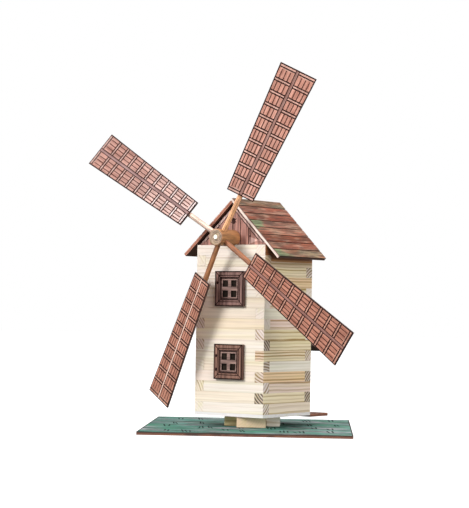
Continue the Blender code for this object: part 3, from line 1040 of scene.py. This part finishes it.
def offset_rows(mesh, row_of, places):
    """Gives each engraved row its own piece of the grain.  Vertices on a row's border belong to
    both rows, so the grain is stored at face corners instead."""
    values = [item.vector.copy() for item in mesh.attributes["grain"].data]
    corners = []
    for polygon in mesh.polygons:
        shift = places[row_of(polygon)] if polygon.normal.z > 0.9 else Vector()
        for corner in polygon.loop_indices:
            corners.extend(values[mesh.loops[corner].vertex_index] + shift)
    mesh.attributes.remove(mesh.attributes["grain"])
    grain = mesh.attributes.new("grain", "FLOAT_VECTOR", "CORNER")
    grain.data.foreach_set("vector", corners)


# The roof's rows from the eave up: each one's brown, and how green it is towards the front.
ROOF_STAINS = (
    ((0.250, 0.175, 0.102), 0.85),
    ((0.240, 0.115, 0.070), 0.1),
    ((0.205, 0.055, 0.022), 0.0),
    ((0.320, 0.165, 0.103), 0.75),
    ((0.250, 0.110, 0.070), 0.9),
    ((0.210, 0.078, 0.042), 0.1),
    ((0.260, 0.105, 0.064), 0.0),
    ((0.200, 0.150, 0.090), 0.2),
)
GABLE_PLANK = 9.4 * MM
GABLE_RAIL = 3.4 * MM
# The knot's cracks: the direction of each in degrees and its length in millimetres.
GABLE_CRACKS = ((-88, 9.0), (-20, 3.2), (35, 3.8), (100, 3.4), (150, 4.0), (205, 3.6))


def make_roof():
    # The right panel's near-black long edge is painted shade on the eave's lower edge.
    row_plate("right_roof_panel", RIGHT + UP, UP - RIGHT, ROOF_STAINS, "roof_stain", seed=12,
              long_edge=(0.12, 0.07, 0.055), edge="pale_edge")
    row_plate("left_roof_panel", UP - RIGHT, UP + RIGHT, ROOF_STAINS, "roof_stain", seed=10,
              ends=(1.30, 0.92, 0.76), front_side=1)
    make_gable("front_gable", FORWARD)
    make_gable("back_gable", -FORWARD)


def circle(centre, radius, steps, tall=1.0):
    """A circle, or with tall an ellipse."""
    turns = [2 * pi * i / steps for i in range(steps)]
    return [
        Vector((centre[0] + radius * cos(a), centre[1] + tall * radius * sin(a))) for a in turns
    ]


def make_gable(name, facing):
    outline, place, _ = plate_of(name, facing, UP)
    base = min(p.y for p in outline)
    lines = []
    borders = {}
    # Two lines along each slope; the right-hand ones stand further in, clear of the roof panel.
    for side, outer, inner in ((-1, 0.45 * MM, GABLE_RAIL), (1, 1.95 * MM, 4.5 * MM)):
        borders[side] = inset(outline, inner)
        for loop in (borders[side], inset(outline, outer)):
            for i, corner in enumerate(loop):
                slopes = abs(corner.y - loop[i - 1].y) > MM
                if slopes and (corner.x + loop[i - 1].x) * side > 0:
                    lines.append(stroke(loop[i - 1], corner, 0.85 * MM))
    for k in range(-4, 5):
        x = (k - 0.06) * GABLE_PLANK
        top = base
        while inside(Vector((x, top + 2 * GABLE_RAIL)), outline):
            top += 0.5 * MM
        if top > base + 2 * GABLE_RAIL:
            lines.append(stroke((x, base + 0.3 * MM), (x, top), 0.85 * MM))
    centre = Vector((0.8 * MM, base + 22.5 * MM))
    cracks = []
    for angle, reach in GABLE_CRACKS:
        a = radians(angle)
        tip = centre + Vector((reach * MM * cos(a), reach * MM * sin(a)))
        cracks.append(stroke(centre, tip, 0.8 * MM))
    knots = [knot(centre.x, centre.y, 2.1 * MM), knot(20.0 * MM, base + 8.0 * MM, 0.8 * MM)]
    rng = Random(31)
    shades = [rng.uniform(0.95, 1.35) for _ in range(12)]
    border_foot = max(p.x for p in borders[-1]) + GABLE_RAIL

    def gable_tone(polygon):
        x, y = polygon.center[:2]
        border = borders[1 if x > 0 else -1]
        rake = y > base + GABLE_RAIL or abs(x) > border_foot
        if rake and polygon.normal.z > 0.9 and not inside(polygon.center, border):
            return (2.3, 3.0, 3.4) if x < 0 else (2.2, 2.7, 3.0)
        shade = shades[int(x / GABLE_PLANK + 6)]
        return (shade * 1.38, shade * 1.30, shade * 1.34)

    hole = []
    if name == "front_gable":
        hole = [circle(place.inverted() @ shaft_point, GABLE_BORE, 24)]
    brown_plate(name + "_planks", name, facing, [(lines + knots + cracks, 0.4 * MM, 3)],
                gable_tone, (0.4, 0.1, 0.0), holes=hole)


# ---------------------------------------------------------------- base


def make_base():
    outline = plate_of("base_board", UP, Vector((0, 1, 0)))[0]
    half = extent(outline)[1]
    rng = Random(77)
    blades = []
    columns, rows = 7, 4
    for i in range(columns):
        for j in range(rows):
            x = ((i + 0.5 + rng.uniform(-0.35, 0.35)) / columns * 2 - 1) * half.x * 0.95
            y = ((j + 0.5 + rng.uniform(-0.3, 0.3)) / rows * 2 - 1) * half.y * 0.93
            for k in range(rng.choice((2, 2, 3))):
                foot = Vector((x + k * 3.4 * MM, y - rng.uniform(8, 14) * MM))
                tip = foot + Vector((rng.uniform(-3.5, -0.5) * MM, rng.uniform(17, 30) * MM))
                if abs(tip.y) < half.y - MM and abs(foot.y) < half.y - MM:
                    blades.append(stroke(foot, tip, 1.5 * MM))
    border = ring_strokes(inset(outline, 0.55 * MM), 1.0 * MM)
    plate_piece(
        "base_board_grass", "base_board", UP, Vector((0, 1, 0)), "base", "green_ply",
        ["board_stain", "board_edge", "board_edge", "grass_line", "burnt_line"],
        [(blades, 0.3 * MM, 3), (border, 0.3 * MM, 4)],
        lambda polygon: (0.4, 0.4, 0.4) if abs(polygon.normal.x) > 0.7 else (1.0, 1.0, 1.0),
        lambda co: co + Vector((0.35, 0.2, 0.0)),
    )
    x, y = Vector((1, 0, 0)), Vector((0, 1, 0))
    dressed("cross_beam_long", y, "base", 3, (0.88, 0.75, 0.56), figure=0.1)
    # Its halves are tinted for light: the near half browner as painted shade from the mill, the far
    # half brightened as painted light against the mill's shadow.
    dressed("cross_beam_short", x, "base", 4, (1.10, 0.97, 0.60), figure=0.6,
            far_tone=(1.10, 1.12, 1.10))
    rod = {"bevel": 0.0, "slot": "pine_dowel", "material": "dowel_wood", "pith": 0.002}
    dressed("pivot_dowel", UP, "base", 5, **rod)
    dressed("pivot_washer", x, "base", 6, bevel=0.0)
    dressed("pivot_collar", UP, "base", 7, **rod)


def make_tower():
    make_walls()
    dressed("floor_plate", RIGHT, "mill", 8, (0.93, 0.98, 1.10), figure=0.1)
    dressed("front_bearing_block", RIGHT, "mill", 9, TONES["straw"])
    dressed("rear_bearing_block", RIGHT, "mill", 10, TONES["straw"])
    make_windows()
    make_back()


# ---------------------------------------------------------------- rotor


def turned(profile, segments=64):
    """A closed solid turned about z from (radius, height) points that start and end on the axis."""
    bm = bmesh.new()
    turns = [2 * pi * i / segments for i in range(segments)]
    rows = []
    for radius, height in profile:
        around = turns if radius > 1e-9 else turns[:1]
        rows.append([bm.verts.new((radius * cos(a), radius * sin(a), height)) for a in around])
    for first, second in zip(rows, rows[1:]):
        for i in range(segments):
            j = (i + 1) % segments
            corners = ((first, i), (first, j), (second, j), (second, i))
            bm.faces.new(list(dict.fromkeys(row[k % len(row)] for row, k in corners)))
    return bm


def along_matrix(start, direction):
    return Matrix.Translation(start) @ direction.to_track_quat("Z", "Y").to_matrix().to_4x4()


def rounded_rod_profile(length, radius, ease):
    """Half the outline of a rod whose two rims are rounded."""
    arc = [(i / 4) * pi / 2 for i in range(5)]
    low = [(radius - ease + ease * sin(a), ease - ease * cos(a)) for a in arc]
    high = [(r, length - h) for r, h in reversed(low)]
    return [(0.0, 0.0), *low, *high, (0.0, length)]


def dowel(name, node, direction, slot, material, tone, seed, ease=0.45 * MM, pith=0.006,
          figure=0.6, end_figure=0.8, end_tone=None, rim_tone=None, cutters=()):
    """A rod of the rotor turned again with rounded rims, and with its cutters taken out of it."""
    start, direction, length, radius = rod_of(node, direction)
    bm = turned(rounded_rod_profile(length, radius, ease))
    piece = add_piece(name, bm, [material], along_matrix(start, direction), "rotor", [node], slot,
                      smooth=True)
    if cutters:
        cut_away(piece, cutters)
        piece.data.set_sharp_from_angle(angle=SHARP)
    offset = grain_offset(Random(seed), pith)

    def tone_of(polygon):
        if is_end(polygon, 2):
            return end_tone or tone
        return rim_tone if rim_tone and abs(polygon.normal.z) > 0.25 else tone

    set_attributes(
        piece.data, lambda co: Vector((co.z, co.x, co.y)) + offset, tone_of,
        lambda polygon: end_figure if is_end(polygon, 2) else figure,
    )


def cut_away(piece, cutters):
    """Takes the cutters out of a piece and removes them."""
    for number, cutter in enumerate(cutters):
        boolean = piece.modifiers.new(f"cut_{number}", "BOOLEAN")
        boolean.operation = "DIFFERENCE"
        boolean.solver = "EXACT"
        boolean.object = cutter
    bpy.context.view_layer.update()
    evaluated = piece.evaluated_get(bpy.context.evaluated_depsgraph_get())
    mesh = bpy.data.meshes.new_from_object(evaluated)
    piece.modifiers.clear()
    piece.data = mesh
    for cutter in cutters:
        bpy.data.objects.remove(cutter, do_unlink=True)


def cutter_rod(start, direction, length, radius, material):
    bm = turned([(0.0, 0.0), (radius, 0.0), (radius, length), (0.0, length)], 48)
    mesh = mesh_from("cutter", bm)
    mesh.materials.append(MATERIALS[material])
    cutter = new_object("cutter", mesh)
    cutter.matrix_world = along_matrix(start, direction)
    return cutter


def bore_cutter(node, axis, radius, material):
    """A cutter through the whole of a rod and a millimetre past each end."""
    start, _, length, _ = rod_of(node, axis)
    return cutter_rod(start - axis * MM, axis, length + 2 * MM, radius, material)


SPAR_TONES = {
    "a": (2.5, 2.85, 3.6), "b": (1.95, 3.1, 6.0), "c": (0.85, 0.76, 0.70), "d": (0.82, 0.70, 0.74),
}


def make_rotor():
    inward = shaft_axis.normalized()
    hub_radius = rod_of("hub", inward)[3]
    cutters = [bore_cutter("hub", inward, HUB_BORE, "orange_dowel")]
    for letter, tone in SPAR_TONES.items():
        node = "spar_" + letter
        centre = sum(points_of(node), Vector()) / len(points_of(node))
        root, outward, _, radius = rod_of(node, centre - shaft_point)
        gap = 0.2 * MM
        cutters.append(
            cutter_rod(root - outward * gap, outward, 2 * hub_radius, radius + gap, "orange_dowel")
        )
        dowel(node + "_dowel", node, outward, "stained_dowel", "orange_dowel", tone, ord(letter),
              figure=0.9)
        make_sail(letter, outward)
    dowel(
        "hub_turned", "hub", inward, "stained_dowel", "orange_dowel", (1.0, 1.0, 0.95), 2,
        ease=1.1 * MM, pith=0.0015, figure=1.0, end_figure=1.3, end_tone=(1.08, 1.65, 2.7),
        rim_tone=(1.10, 1.10, 1.25), cutters=cutters,
    )
    dowel("windshaft_dowel", "windshaft", inward, "pine_dowel", "dowel_wood", (1.0, 1.0, 1.0), 12,
          pith=0.002, end_figure=0.1, end_tone=(1.4, 1.5, 1.8))
    bore = bore_cutter("shaft_retainer", inward, RETAINER_BORE, "dowel_wood")
    dowel("shaft_retainer_dowel", "shaft_retainer", inward, "pine_dowel", "dowel_wood",
          (0.95, 0.9, 0.85), 13, pith=0.002, cutters=[bore])


CELLS = 10
SLATS = 4
SAIL_TINTS = {  # the tints of each sail's slats and of its middle rib, and how bleached its root is
    "a": ((1.14, 1.12, 1.14), (0.70, 0.78, 0.88), 0.1),
    "b": ((0.75, 0.79, 0.85), (0.52, 0.62, 0.78), 0.6),
    # Sail c's pale rib tint is a painted highlight along its middle.
    "c": ((0.82, 0.73, 0.67), (1.40, 1.90, 2.10), 0.0),
    "d": ((0.87, 0.76, 0.70), (0.58, 0.58, 0.64), 0.0),
}


def make_sail(letter, outward):
    """A tapered lattice: ten cells each side of a middle rib, four slats to a cell, and a batten
    between each two cells."""
    node = "sail_" + letter
    outline = plate_of(node, FORWARD, outward)[0]
    (_, bottom), (_, top) = extent(outline)
    foot = max(p.x for p in outline if p.y < bottom + MM)
    head = max(p.x for p in outline if p.y > top - MM)
    half_rib = (1.3 if letter == "c" else 1.5) * MM
    end_rail, batten = 3.3 * MM, 1.3 * MM
    dark, faint = 1.25 * MM, 0.85 * MM
    pitch = (top - bottom - 2 * end_rail) / CELLS

    def half_width(y):
        return foot + (head - foot) * (y - bottom) / (top - bottom)

    burnt, soft = [], []
    for side in (-1, 1):
        rib_ends = [(side * half_rib, y) for y in (bottom + 0.6 * MM, top - 0.6 * MM)]
        burnt.append(stroke(*rib_ends, 0.8 * MM))
    burnt += ring_strokes(inset(outline, 0.5 * MM), dark)
    for k in range(CELLS + 1):
        y = bottom + end_rail + k * pitch
        reach = half_width(y) - 0.5 * MM
        for edge in ((-batten, batten) if 0 < k < CELLS else (0.0,)):
            for side in (-1, 1):
                burnt.append(stroke((side * half_rib, y + edge), (side * reach, y + edge), dark))
    for k in range(CELLS):
        low = bottom + end_rail + k * pitch + batten + 0.4 * MM
        high = low + pitch - 2 * batten - 0.8 * MM
        for side in (-1, 1):
            for slat in range(1, SLATS):
                x = {y: half_rib + (half_width(y) - half_rib) * slat / SLATS for y in (low, high)}
                soft.append(stroke((side * x[low], low), (side * x[high], high), faint))
    rng = Random(ord(letter))
    tint, rib, bleached = SAIL_TINTS[letter]
    cell_shades = [[rng.uniform(0.92, 1.08) for _ in range(2 * SLATS)] for _ in range(CELLS)]

    def sail_tone(polygon):
        u, v = polygon.center[:2]
        if abs(u) < half_rib:
            return rib
        share = (v - bottom - end_rail) / pitch
        cell = min(CELLS - 1, max(0, int(share)))
        fade = bleached * max(0.0, 1.0 - share / 7)
        pale = [c * (1.0 + k * fade) for c, k in zip(tint, (0.8, 1.6, 2.0))]
        edge = abs(share - round(share)) * pitch
        if edge < batten or share < 0 or share > CELLS:
            return tuple(c * k for c, k in zip(pale, (1.12, 1.35, 1.45)))
        across = (abs(u) - half_rib) / (half_width(v) - half_rib) * SLATS
        slat = min(SLATS - 1, max(0, int(across))) + (SLATS if u > 0 else 0)
        return tuple(c * cell_shades[cell][slat] for c in pale)

    plate_piece(
        node + "_lattice", node, FORWARD, outward, "rotor", "sail_ply",
        ["sail_stain", "dark_edge", "sail_stain", "burnt_line", "soft_line"],
        [(soft, 0.2 * MM, 4), (burnt, 0.3 * MM, 3)], sail_tone,
        lambda co: upright(co) + Vector((ord(letter) * 0.37, 0.0, 0.0)),
    )


make_camera()
make_lights()
make_world()
make_floor()
make_materials()
make_base()
make_tower()
make_roof()
make_rotor()
